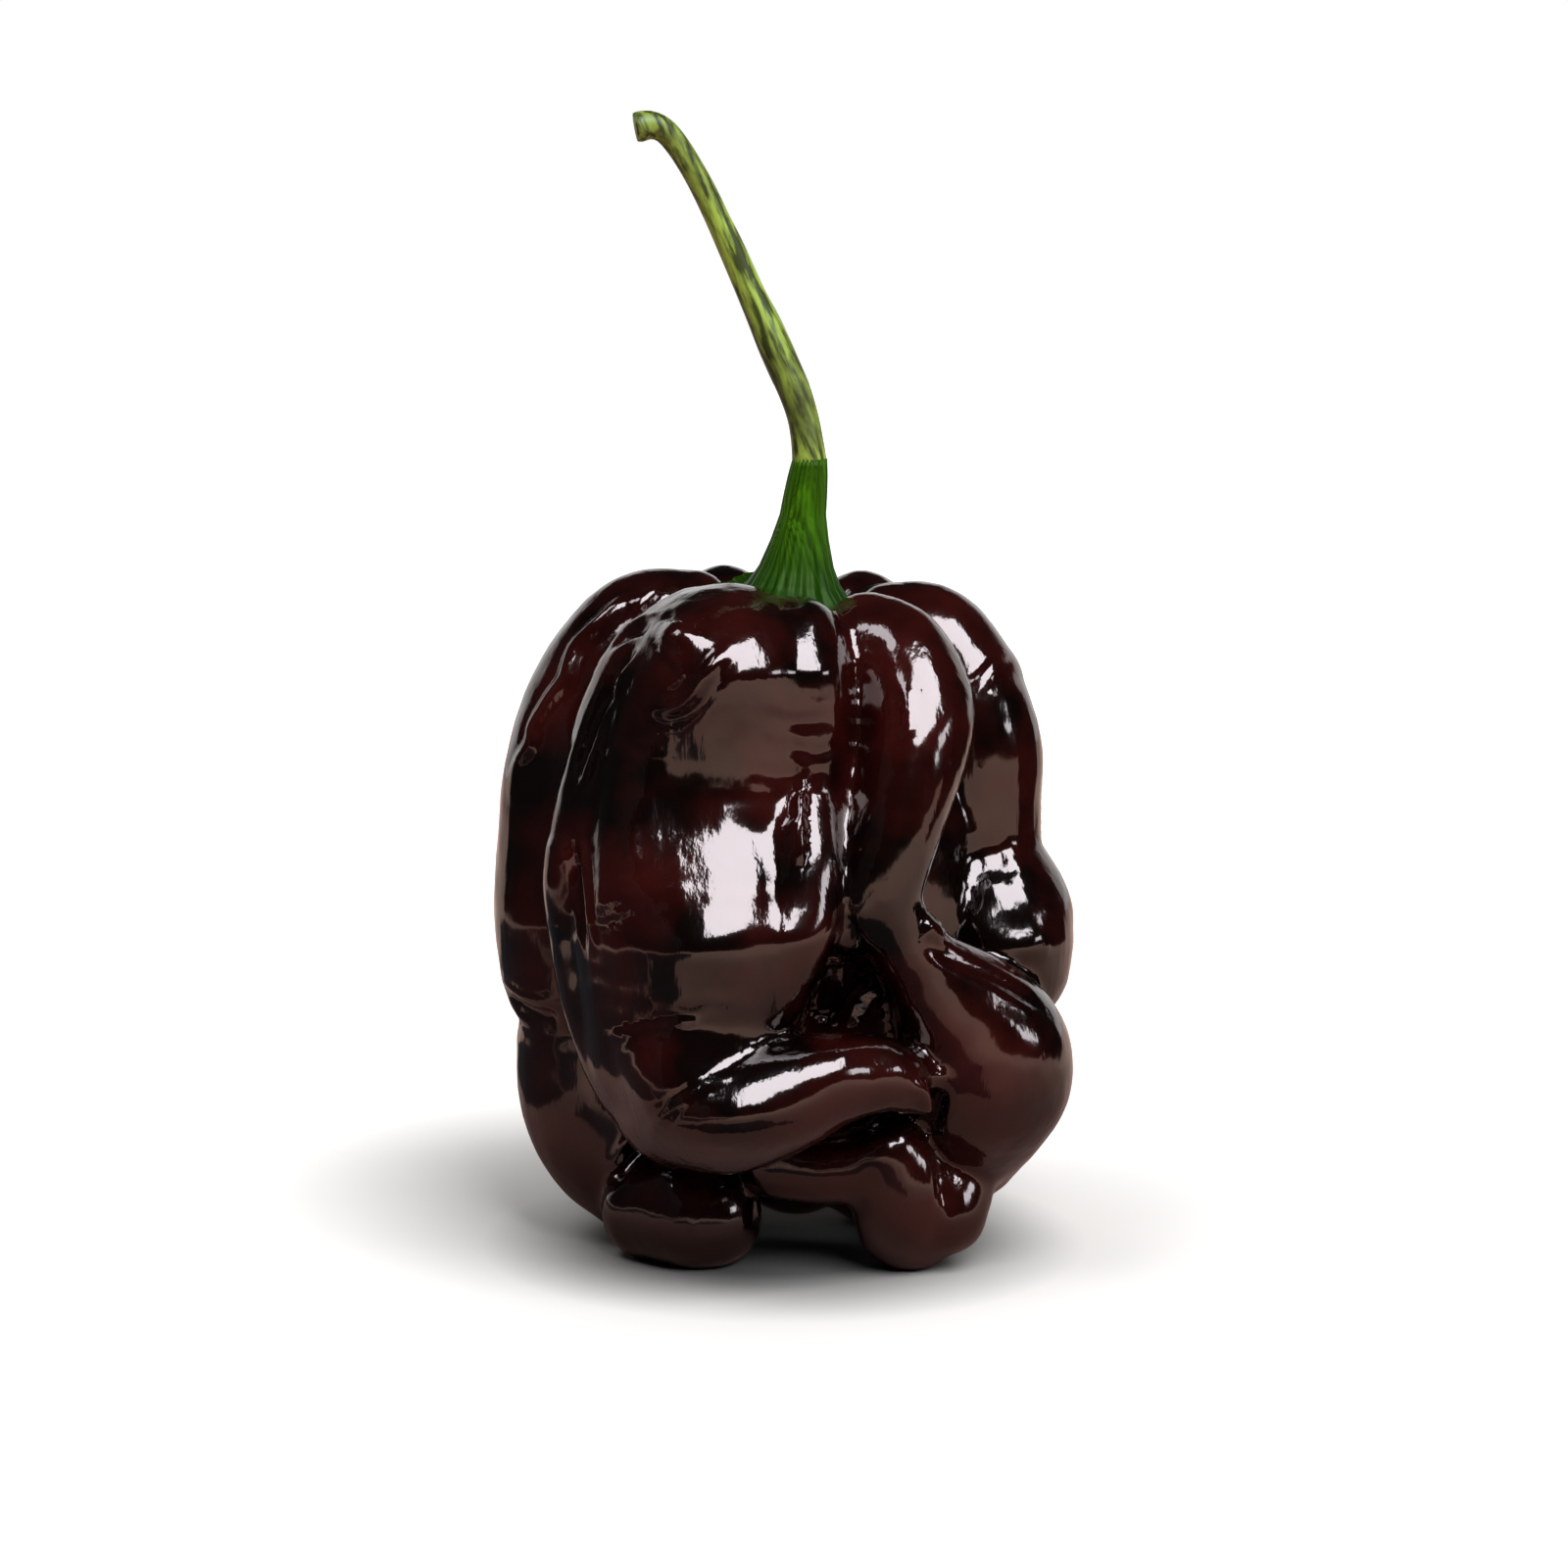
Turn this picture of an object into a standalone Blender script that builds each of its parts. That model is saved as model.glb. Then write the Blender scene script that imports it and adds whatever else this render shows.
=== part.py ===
"""Chilli pepper of the chocolate habanero kind: a puckered, lobed pod, its calyx and its stalk.

Metres, +Z up, front towards -Y. The pod stands on its four lower lobes on z = 0, and the origin is
the middle of the whole fruit's footprint.
"""
import math

import bmesh
import bpy
from mathutils import Matrix, Vector

MM = 0.001

# Driving dimensions, in millimetres.
SKIN_VOXEL = 0.5         # grid that fuses the lobes into one skin
SKIN_ROUNDS = 8          # smoothing passes over the fused skin
SKIN_TRIANGLES = 7400
FIT_GAP = 0.3            # clearance between pod, calyx and stalk
FOOTPRINT_MIDDLE = (0.085, -0.248)  # of the lobes as placed below; the origin is moved there at the end
CALYX_AXIS = (0.5, 0.0)  # where the calyx sits on the pod
CALYX_LEAN = 0.125       # sideways run of the calyx axis for each unit of height
CALYX_SEAT_Z = 43.6
CALYX_TEETH = 5
CALYX_SEGMENTS = 40
TOOTH_LENGTH = 1.1
TOOTH_TURN = 0.54        # radians to the first tooth
RIB_DEPTH = 0.03         # share of the radius

# The pod is a bundle of swollen lobes. Each is a limb along its stations (x, y, z, radius).
LOBES = {
    "cheek": [(-2.2, -7.0, 42.3, 3.8), (-4, -7.6, 39, 7.4), (-4.3, -7.6, 34, 8.4), (-5, -8, 29.5, 8.6),
              (-5.4, -9.2, 25.2, 8.9), (-5.8, -9.8, 22.4, 8.3), (-6.1, -10.4, 19.4, 7.6), (-6.3, -10.8, 16.6, 7)],
    "cheek_flank": [(0.8, -7.4, 42.2, 3.6), (1, -9.4, 39.4, 3.7), (1, -10.6, 36, 3.7), (0.9, -11, 33, 3.8),
                    (0.6, -12.4, 28, 3.9), (-0.2, -13, 24, 3.6), (-1.6, -13, 20.5, 3.4)],
    "cheek_rim": [(-5.7, -6, 43.4, 2.8), (-8.6, -7, 41.4, 3), (-10.4, -8, 38, 3.1), (-11.4, -8.5, 34.2, 3.1),
                  (-12.2, -9, 31.4, 3.1), (-12.8, -9, 27.7, 3.1), (-12.3, -9, 23.4, 3.3),
                  (-11.3, -9.8, 19.1, 3.5), (-9.5, -10.6, 15.1, 3.8), (-6.6, -12.2, 12.1, 4.1)],
    "lip": [(-7, -12, 12.8, 4.5), (-3.8, -14.2, 12.9, 4.7), (0, -14.9, 13.8, 4), (3.2, -15.2, 14.8, 3.1),
            (6.3, -14.6, 15, 2.6), (8.4, -13.6, 14, 2)],
    "left": [(-6.2, 2.6, 43.6, 2.8), (-9.7, 2, 41.4, 4.8), (-12.6, 1, 36.8, 5.2), (-13.8, 0, 32, 5.4),
             (-14.1, 0, 27, 5.6), (-14.1, -0.5, 23, 5.8), (-13.9, -0.5, 19.4, 5.5)],
    "left_low": [(-13.5, 0, 14.1, 4.9), (-13.3, 0, 10.6, 5), (-12.1, 0, 7.2, 4.8), (-9.5, 0, 4.6, 4.5)],
    "ridge": [(5.6, -4.8, 42.6, 3.1), (7.6, -6.3, 41.3, 3.7), (8.8, -8.3, 38.4, 3.9), (8.6, -10.1, 35.7, 3.6),
              (7.9, -11.4, 32.6, 3.3), (7, -12.3, 29.6, 3.1), (6.6, -12.9, 26.9, 2.7), (7.1, -12.8, 24.6, 2.4)],
    "valley": [(5, -6.2, 40.5, 2.9), (5.2, -8, 36.5, 2.9), (5, -9.4, 32, 2.9), (4.8, -10.4, 28, 2.9),
               (4.8, -10.8, 24.6, 2.8)],
    "right_fold": [(7.1, -12.6, 24.6, 2.5), (9.1, -11.6, 21.5, 2.9), (12.1, -9.5, 17.5, 4.8),
                   (13.6, -8, 14.5, 6), (13.4, -6.4, 12, 5.5), (12, -2.4, 8.2, 5)],
    "right_top": [(7.4, 2.8, 42.3, 3.2), (10.1, 3, 41, 4.3), (12.7, 1.5, 38.5, 3.9)],
    "right_waist": [(12.8, 0.7, 36.8, 4.3), (13.2, 0.6, 34.4, 4.6), (13.2, 0.6, 31, 4.6), (13.2, 0.5, 27.6, 4.6)],
    "right_low": [(13.9, -0.4, 24.8, 4.9), (14.5, -1, 22.6, 5.5), (14.4, -1.2, 20.2, 5.5)],
    "foot_left": [(-9, -4.5, 3.2, 3.5), (-6, -6.5, 3.6, 4), (-4.8, -6.5, 3.4, 3.5)],
    "foot_middle": [(-0.3, -8, 7.5, 2.6), (2.6, -8.5, 7.3, 2.6), (5.3, -9, 7.7, 2.8)],
    "foot_right": [(6.9, -9.5, 8.5, 2.8), (8.1, -8.5, 5.3, 3.6), (8.6, -7, 3.3, 3.7)],
    "foot_ledge": [(11.8, -5.2, 8, 3.1), (11.4, -6.6, 6, 3.1), (10.8, -7.8, 4, 3.1)],
    "back_left": [(-4, 6.8, 42.8, 3.5), (-7, 9.4, 37.6, 6.3), (-9, 10, 31, 6.9), (-9.6, 9.8, 24, 7.3),
                  (-9, 9.4, 17.5, 6.8), (-7.4, 8, 11, 6.4), (-5.8, 6.4, 5.3, 5.8)],
    "back_middle": [(1, 8, 42.4, 3.2), (0.6, 11.6, 38, 4.8), (-0.4, 13.2, 32, 5), (-0.2, 13.4, 26, 5.2),
                    (1, 12.6, 20, 5.4), (1.4, 10.8, 13.5, 5), (0.8, 7.6, 7.6, 4.7), (0.8, 4.6, 5.2, 4.6)],
    "back_right": [(5.4, 6.4, 42.6, 3.4), (8.4, 8.4, 37.6, 5.6), (10.4, 9, 33, 5.9), (11, 9.2, 26.5, 6.6),
                   (10.2, 9, 19.4, 6.6), (8.6, 7.6, 12, 6.2), (7, 6, 5.3, 5.8)],
    "right_base": [(12.8, 1, 17, 4.6), (12.2, 1, 12.5, 4.8), (10.4, 1, 7.6, 4.6)],
}

# The fruit's middle, behind and between the lobes: centre and half-axes.
CORES = [((0.3, 2.6, 24), (15.2, 13, 19)), ((0.9, 0, 38), (7, 7, 5.6))]

# The calyx, turned: (radius, height), from the middle of its neck over the rim to the middle below.
CALYX_PROFILE = [(0, 54.2), (1.16, 54.2), (1.24, 53.7), (1.34, 53), (1.44, 52), (1.56, 50.4), (1.95, 48.7),
                 (2.5, 46.9), (3.1, 45.7), (3.8, 45), (4.5, 44.9), (4.6, 44.6), (4.1, 44.3), (3.1, 44),
                 (1.8, 43.8), (0, 43.7)]

# The stalk's middle line and radius, from the calyx to the cut end.
STALK = [(1.8, 0, 54.5, 1.14), (1.64, 0, 55.6, 1.09), (1.35, 0.1, 57, 1.06),
         (0.8, 0.1, 58.7, 1.1), (0.1, 0.2, 60.3, 1.13), (-0.6, 0.2, 61.9, 1.13), (-1.3, 0.3, 63.5, 1.06),
         (-2.1, 0.3, 65.2, 0.95), (-2.8, 0.3, 66.8, 0.92), (-3.55, 0.2, 68.5, 0.89), (-4.3, 0.1, 70.1, 0.83),
         (-5.1, 0, 71.8, 0.82), (-5.95, -0.2, 73.4, 0.8), (-6.95, -0.4, 75, 0.81), (-7.9, -0.6, 76.1, 0.85),
         (-8.8, -0.8, 76.45, 0.95), (-9.5, -1, 76.35, 1.02), (-9.8, -1.05, 76.3, 0.94)]


def clear_scene():
    for thing in list(bpy.data.objects):
        bpy.data.objects.remove(thing)


def make_collection(name):
    collection = bpy.data.collections.new(name)
    bpy.context.scene.collection.children.link(collection)
    return collection


def make_material(name, colour, roughness):
    material = bpy.data.materials.new(name)
    material.use_nodes = True
    shader = material.node_tree.nodes["Principled BSDF"]
    shader.inputs["Base Color"].default_value = (*colour, 1)
    shader.inputs["Roughness"].default_value = roughness
    shader.inputs["Metallic"].default_value = 0
    return material


def add_object(name, mesh, collection, material=None):
    thing = bpy.data.objects.new(name, mesh)
    collection.objects.link(thing)
    if material:
        mesh.materials.clear()
        mesh.materials.append(material)
    return thing


def hide_cutter(thing):
    thing.hide_render = True
    thing.display_type = "WIRE"


def cut(thing, cutter):
    modifier = thing.modifiers.new(cutter.name, "BOOLEAN")
    modifier.operation = "DIFFERENCE"
    modifier.solver = "EXACT"
    modifier.object = cutter


def evaluated_mesh(thing):
    """The object's mesh with its modifiers applied."""
    graph = bpy.context.evaluated_depsgraph_get()
    return bpy.data.meshes.new_from_object(thing.evaluated_get(graph), depsgraph=graph)


def along(stations, step):
    """Points on a smooth curve through the stations, a share of the local radius apart."""
    points = [Vector(station) for station in stations]
    points = [2 * points[0] - points[1], *points, 2 * points[-1] - points[-2]]
    path = []
    for before, start, end, after in zip(points, points[1:], points[2:], points[3:]):
        count = max(2, int((end - start).xyz.length / (step * min(start.w, end.w))))
        for i in range(count):
            t = i / count
            path.append(0.5 * (2 * start + (end - before) * t
                               + (2 * before - 5 * start + 4 * end - after) * t * t
                               + (3 * start - before - 3 * end + after) * t ** 3))
    path.append(points[-2])
    return path


def make_pod(collection, material):
    """Lobes of close-set balls, fused by a voxel grid, smoothed and thinned to flat facets."""
    bm = bmesh.new()
    for stations in LOBES.values():
        for x, y, z, radius in along(stations, 0.15):
            place = Matrix.Translation(Vector((x, y, z)) * MM)
            bmesh.ops.create_icosphere(bm, subdivisions=3, radius=radius * MM, matrix=place)
    for centre, half_axes in CORES:
        place = Matrix.Translation(Vector(centre) * MM) @ Matrix.Diagonal((*half_axes, 1))
        bmesh.ops.create_icosphere(bm, subdivisions=4, radius=MM, matrix=place)
    mesh = bpy.data.meshes.new("pod_lobes")
    bm.to_mesh(mesh)
    bm.free()
    pod = add_object("pod", mesh, collection)
    fuse = pod.modifiers.new("fuse", "REMESH")
    fuse.mode = "VOXEL"
    fuse.voxel_size = SKIN_VOXEL * MM
    relax = pod.modifiers.new("relax", "SMOOTH")
    relax.factor = 0.5
    relax.iterations = SKIN_ROUNDS
    quads = len(evaluated_mesh(pod).polygons)
    thin = pod.modifiers.new("thin", "DECIMATE")
    thin.ratio = SKIN_TRIANGLES / (2 * quads)
    skin = evaluated_mesh(pod)
    pod.modifiers.clear()
    pod.data = skin
    skin.materials.clear()
    skin.materials.append(material)
    skin.shade_smooth()
    return pod


def make_table_cutter(collection):
    """A block below the table top: it presses the four feet flat."""
    bm = bmesh.new()
    bmesh.ops.create_cube(bm, size=60 * MM, matrix=Matrix.Translation((0, 0, -30 * MM)))
    mesh = bpy.data.meshes.new("table_cutter")
    bm.to_mesh(mesh)
    bm.free()
    cutter = add_object("table_cutter", mesh, collection)
    hide_cutter(cutter)
    return cutter


def spin_profile(name, profile):
    """A closed turned body about the Z axis from (radius, height) pairs that start and end on the axis."""
    bm = bmesh.new()
    rim = [bm.verts.new((radius * MM, 0, height * MM)) for radius, height in profile]
    edges = [bm.edges.new(pair) for pair in zip(rim, rim[1:])]
    bmesh.ops.spin(bm, geom=rim + edges, cent=(0, 0, 0), axis=(0, 0, 1), angle=2 * math.pi,
                   steps=CALYX_SEGMENTS, use_merge=True)
    bmesh.ops.remove_doubles(bm, verts=bm.verts, dist=0.001 * MM)
    bmesh.ops.recalc_face_normals(bm, faces=bm.faces)
    return bm


def shape_calyx(bm, grow):
    """Ribs, rim teeth, the rim's rise over the lobes and the lean, as functions of angle and radius."""
    rim_radius = max(radius for radius, height in CALYX_PROFILE)
    for vert in bm.verts:
        radius = math.hypot(vert.co.x, vert.co.y) / MM
        if radius > 0.01:
            angle = math.atan2(vert.co.y, vert.co.x)
            spread = min(1, radius / rim_radius)
            rib = RIB_DEPTH * math.cos(2 * CALYX_TEETH * angle)
            tooth = TOOTH_LENGTH * max(0, math.cos(CALYX_TEETH * (angle - TOOTH_TURN))) ** 3 * spread ** 8
            scale = (radius * (1 + rib) + tooth + grow) / radius
            vert.co.x *= scale
            vert.co.y *= scale
            tilt = 0.6 * math.sin(angle) - 1.0 * math.cos(angle) + 0.3 * math.cos(3 * angle)
            vert.co.z += tilt * spread ** 4 * MM
        vert.co.x += (CALYX_AXIS[0] + CALYX_LEAN * (vert.co.z / MM - CALYX_SEAT_Z)) * MM
        vert.co.y += CALYX_AXIS[1] * MM


def make_calyx(collection, material):
    bm = spin_profile("calyx", CALYX_PROFILE)
    shape_calyx(bm, 0)
    mesh = bpy.data.meshes.new("calyx")
    bm.to_mesh(mesh)
    bm.free()
    calyx = add_object("calyx", mesh, collection, material)
    mesh.shade_smooth()
    mesh.set_sharp_from_angle(angle=math.radians(50))
    return calyx


def make_seat_cutter(collection):
    """The calyx's underside with its clearance, open straight up, so that the lobes stand round it."""
    below = CALYX_PROFILE[-5:]
    top = 60
    profile = [(0, top), (below[0][0], top)]
    profile += [(radius, height - FIT_GAP) for radius, height in below]
    bm = spin_profile("seat", profile)
    shape_calyx(bm, FIT_GAP)
    mesh = bpy.data.meshes.new("seat_cutter")
    bm.to_mesh(mesh)
    bm.free()
    cutter = add_object("seat_cutter", mesh, collection)
    hide_cutter(cutter)
    return cutter


def make_stalk(collection, material):
    """A bent tapering tube with a slightly flared cut end."""
    curve = bpy.data.curves.new("stem", "CURVE")
    curve.dimensions = "3D"
    curve.bevel_depth = MM
    curve.bevel_resolution = 3
    curve.use_fill_caps = True
    path = along(STALK, 1.2)
    spline = curve.splines.new("POLY")
    spline.points.add(len(path) - 1)
    for point, (x, y, z, radius) in zip(spline.points, path):
        point.co = (x * MM, y * MM, z * MM, 1)
        point.radius = radius
    stalk = bpy.data.objects.new("stem", curve)
    collection.objects.link(stalk)
    curve.materials.append(material)
    return stalk


clear_scene()
pepper = make_collection("chilli_pepper")
cutters = make_collection("cutters")
pod = make_pod(pepper, make_material("pod_skin", (0.035, 0.006, 0.004), 0.15))
cut(pod, make_table_cutter(cutters))
cut(pod, make_seat_cutter(cutters))
make_calyx(pepper, make_material("calyx_green", (0.10, 0.22, 0.02), 0.45))
make_stalk(pepper, make_material("stem_green", (0.12, 0.16, 0.03), 0.5))
to_middle = Matrix.Translation((-FOOTPRINT_MIDDLE[0] * MM, -FOOTPRINT_MIDDLE[1] * MM, 0))
for thing in [*pepper.objects, *cutters.objects]:
    thing.data.transform(to_middle)
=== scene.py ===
"""Looks of a chilli pepper of the chocolate habanero kind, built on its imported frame.

The pod is swollen, puckered skin over several lobes; the calyx is a ribbed green collar on its top;
the stalk is a bent fibrous tube. Metres, +Z up, front towards -Y.
"""
import math

import bmesh
import bpy
import numpy as np
from mathutils import Matrix, Vector, noise
from mathutils.bvhtree import BVHTree


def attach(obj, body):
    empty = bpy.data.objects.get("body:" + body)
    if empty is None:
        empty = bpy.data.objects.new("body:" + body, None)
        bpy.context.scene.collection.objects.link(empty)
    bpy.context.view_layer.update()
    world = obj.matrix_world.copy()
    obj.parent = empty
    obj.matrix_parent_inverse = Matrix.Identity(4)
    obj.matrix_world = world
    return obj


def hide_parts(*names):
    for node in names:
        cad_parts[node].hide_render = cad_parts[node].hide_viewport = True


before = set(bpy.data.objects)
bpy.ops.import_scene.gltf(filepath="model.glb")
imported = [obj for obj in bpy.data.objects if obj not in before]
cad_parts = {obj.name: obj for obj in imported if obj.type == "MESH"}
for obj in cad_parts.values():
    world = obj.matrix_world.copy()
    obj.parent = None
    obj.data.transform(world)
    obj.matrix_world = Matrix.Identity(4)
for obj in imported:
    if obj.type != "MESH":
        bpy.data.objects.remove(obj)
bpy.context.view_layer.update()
MM = 0.001


# ---- Table, light and camera ---------------------------------------------------------------------
# The stage: a matt white table top with a painted glow and painted shadow on it, in a room, under soft
# lights, with dark cards that only mirrored light sees, painted dark reflections, and a camera a little
# above the fruit. None of it is part of the object.

def make_shader(name, colour, roughness):
    """A new material with its node tree and its Principled shader."""
    material = bpy.data.materials.new(name)
    material.use_nodes = True
    shader = material.node_tree.nodes["Principled BSDF"]
    shader.inputs["Base Color"].default_value = (*colour, 1)
    shader.inputs["Roughness"].default_value = roughness
    return material, material.node_tree, shader


def map_range(nodes, start, end):
    """A node that turns the values from start to end into 0 to 1."""
    node = nodes.new("ShaderNodeMapRange")
    node.inputs["From Min"].default_value = start
    node.inputs["From Max"].default_value = end
    return node


def mix_colours(nodes, first=(0, 0, 0), second=(0, 0, 0)):
    """A node that blends two colours by its factor; an end that is linked later can be left out."""
    node = nodes.new("ShaderNodeMix")
    node.data_type = "RGBA"
    node.inputs["A"].default_value = (*first, 1)
    node.inputs["B"].default_value = (*second, 1)
    return node


def show(bm, name, material):
    """Turns a finished bmesh into a smooth-shaded object of the scene."""
    mesh = bpy.data.meshes.new(name)
    bm.to_mesh(mesh)
    bm.free()
    mesh.materials.append(material)
    mesh.shade_smooth()
    thing = bpy.data.objects.new(name, mesh)
    bpy.context.scene.collection.objects.link(thing)
    return thing


# Seen directly, the table is white away from the fruit, a painted glow, and dark under it, a painted shadow;
# mirrored in the skin, it is brown, a painted reflection tone, and darkens towards the fruit, painted shade.
# Distances are from the middle of the fruit.
TABLE_RADIUS = 0.9
TABLE_PAINTED_GLOW = 0.8
PAINTED_GLOW_START = 12 * MM
PAINTED_GLOW_END = 66 * MM
PAINTED_MIRROR_SHADE_START = 22 * MM
PAINTED_MIRROR_SHADE_END = 120 * MM
PAINTED_SHADOW_START = 9 * MM
PAINTED_SHADOW_END = 21 * MM
TABLE_TONE = (0.56, 0.465, 0.39)
TABLE_PAINTED_SHADOW_TONE = (0.09, 0.075, 0.06)
TABLE_PAINTED_REFLECTION_BROWN = (0.60, 0.375, 0.275)
TABLE_MIRRORED_PAINTED_SHADE = (0.2, 0.10, 0.075)
table_with_painted_light, table_tree, table_shader = make_shader("table_with_painted_light", TABLE_TONE, 0.9)
table_nodes = table_tree.nodes
table_links = table_tree.links
table_place = table_nodes.new("ShaderNodeTexCoord")
table_reach = table_nodes.new("ShaderNodeVectorMath")
table_reach.operation = "LENGTH"
# painted glow: an emission that only the camera sees makes the table white away from the fruit
table_painted_glow = map_range(table_nodes, PAINTED_GLOW_START, PAINTED_GLOW_END)
table_painted_glow.inputs["To Max"].default_value = TABLE_PAINTED_GLOW
table_seen = table_nodes.new("ShaderNodeLightPath")
table_painted_glow_strength = table_nodes.new("ShaderNodeMath")
table_painted_glow_strength.operation = "MULTIPLY"
# painted shade and painted reflection tone: mirrored in the skin, the table is brown and darkens towards the
# fruit
table_shade = map_range(table_nodes, PAINTED_MIRROR_SHADE_START, PAINTED_MIRROR_SHADE_END)
table_painted_reflection_tone = mix_colours(table_nodes, TABLE_MIRRORED_PAINTED_SHADE, TABLE_PAINTED_REFLECTION_BROWN)
# painted shadow: seen directly, the table darkens to this tone under the fruit
table_painted_shadow = map_range(table_nodes, PAINTED_SHADOW_START, PAINTED_SHADOW_END)
table_seen_with_painted_shadow = mix_colours(table_nodes, TABLE_PAINTED_SHADOW_TONE, TABLE_TONE)
table_tone = mix_colours(table_nodes)
table_shader.inputs["Emission Color"].default_value = (1, 1, 0.98, 1)
table_links.new(table_place.outputs["Object"], table_reach.inputs[0])
table_links.new(table_reach.outputs["Value"], table_shade.inputs["Value"])
table_links.new(table_shade.outputs["Result"], table_painted_reflection_tone.inputs["Factor"])
table_links.new(table_painted_reflection_tone.outputs["Result"], table_tone.inputs["A"])
table_links.new(table_reach.outputs["Value"], table_painted_shadow.inputs["Value"])
table_links.new(table_painted_shadow.outputs["Result"], table_seen_with_painted_shadow.inputs["Factor"])
table_links.new(table_seen_with_painted_shadow.outputs["Result"], table_tone.inputs["B"])
table_links.new(table_seen.outputs["Is Camera Ray"], table_tone.inputs["Factor"])
table_links.new(table_tone.outputs["Result"], table_shader.inputs["Base Color"])
table_links.new(table_reach.outputs["Value"], table_painted_glow.inputs["Value"])
table_links.new(table_painted_glow.outputs["Result"], table_painted_glow_strength.inputs[0])
table_links.new(table_seen.outputs["Is Camera Ray"], table_painted_glow_strength.inputs[1])
table_links.new(table_painted_glow_strength.outputs[0], table_shader.inputs["Emission Strength"])
bm = bmesh.new()
bmesh.ops.create_circle(bm, cap_ends=True, segments=96, radius=TABLE_RADIUS)
table = show(bm, "table", table_with_painted_light)

# The room: dark, with a low white backdrop behind the fruit; seen directly it is white all round.
ROOM_DARK = (0.02, 0.018, 0.018)
BACKDROP_START_Y = 0.35
BACKDROP_END_Y = 0.7
BACKDROP_TOP_Z = 0.5
BACKDROP_FULL_Z = 0.3
room = bpy.data.worlds.new("room")
bpy.context.scene.world = room
room.use_nodes = True
room_nodes = room.node_tree.nodes
room_links = room.node_tree.links
direction = room_nodes.new("ShaderNodeTexCoord")
parts = room_nodes.new("ShaderNodeSeparateXYZ")
behind = map_range(room_nodes, BACKDROP_START_Y, BACKDROP_END_Y)
behind.interpolation_type = "SMOOTHSTEP"
low = map_range(room_nodes, BACKDROP_TOP_Z, BACKDROP_FULL_Z)
low.interpolation_type = "SMOOTHSTEP"
backdrop = room_nodes.new("ShaderNodeMath")
backdrop.operation = "MULTIPLY"
seen = room_nodes.new("ShaderNodeLightPath")
sheet = room_nodes.new("ShaderNodeMath")
sheet.operation = "MAXIMUM"
paper = mix_colours(room_nodes, ROOM_DARK, (1, 1, 1))
room_links.new(direction.outputs["Generated"], parts.inputs[0])
room_links.new(parts.outputs["Y"], behind.inputs["Value"])
room_links.new(parts.outputs["Z"], low.inputs["Value"])
room_links.new(behind.outputs["Result"], backdrop.inputs[0])
room_links.new(low.outputs["Result"], backdrop.inputs[1])
room_links.new(backdrop.outputs[0], sheet.inputs[0])
room_links.new(seen.outputs["Is Camera Ray"], sheet.inputs[1])
room_links.new(sheet.outputs[0], paper.inputs["Factor"])
room_links.new(paper.outputs["Result"], room_nodes["Background"].inputs["Color"])

LIGHT_TARGET = Vector((0, 0, 25 * MM))
LIGHT_DISTANCE = 2.0
LIGHT_TINT = (0.88, 1.03, 1.20)


def hang_light(name, turn, rise, width, height, radiance):
    """A soft light seen from the pepper at this turn to the right and rise, in degrees."""
    lamp = bpy.data.lights.new(name, "AREA")
    lamp.shape = "RECTANGLE"
    lamp.size = width
    lamp.size_y = height
    lamp.energy = radiance * math.pi * width * height
    lamp.color = LIGHT_TINT
    holder = bpy.data.objects.new(name, lamp)
    bpy.context.scene.collection.objects.link(holder)
    turn = math.radians(turn)
    rise = math.radians(rise)
    way = Vector((math.sin(turn) * math.cos(rise), -math.cos(turn) * math.cos(rise), math.sin(rise)))
    holder.location = LIGHT_TARGET + way * LIGHT_DISTANCE
    holder.rotation_mode = "QUATERNION"
    holder.rotation_quaternion = (-way).to_track_quat("-Z", "Y")


# a large soft light high at the front right, a low window at the right and a smaller light at the left
hang_light("key_soft_light", 33, 50, 1.40, 1.20, 15)
hang_light("right_window", 68, 15, 0.45, 0.32, 9)
hang_light("left_soft_light", -60, 60, 0.90, 0.60, 8)

# Dark cards beside the fruit and on the table, seen only in mirrored light: painted dark reflections, which
# the skin mirrors as its dark flanks; the sheets on the table stand in for the table's shade.
painted_reflection_black, _, _ = make_shader("painted_reflection_black", (0.01, 0.01, 0.01), 0.9)


def stand_card(name, size, middle, lean):
    """A black card seen only in mirrored light, a painted dark reflection: size along its sides, and its
    lean about Y in degrees.
    """
    bm = bmesh.new()
    bmesh.ops.create_grid(bm, x_segments=1, y_segments=1, size=0.5)
    bmesh.ops.scale(bm, verts=bm.verts, vec=(*size, 1))
    bmesh.ops.rotate(bm, verts=bm.verts, cent=(0, 0, 0), matrix=Matrix.Rotation(math.radians(lean), 3, "Y"))
    bmesh.ops.translate(bm, verts=bm.verts, vec=middle)
    card = show(bm, name, painted_reflection_black)
    card.visible_camera = False
    card.visible_diffuse = False
    card.visible_shadow = False


# painted dark reflections: cards at the sides, and sheets on the table standing in for shaded table, all
# seen only in mirrored light
stand_card("left_painted_reflection_card", (0.114, 0.25), (-0.11, -0.075, 0.063), 90)
stand_card("left_painted_shade_sheet", (0.073, 0.105), (-0.0785, 0.0075, 0.0005), 0)
stand_card("front_left_painted_shade_sheet", (0.075, 0.152), (-0.0775, -0.124, 0.0007), 0)
stand_card("front_painted_shade_sheet", (0.040, 0.023), (-0.006, -0.0385, 0.0007), 0)
stand_card("right_painted_reflection_card", (0.114, 0.09), (0.11, 0.025, 0.063), 90)

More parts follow.
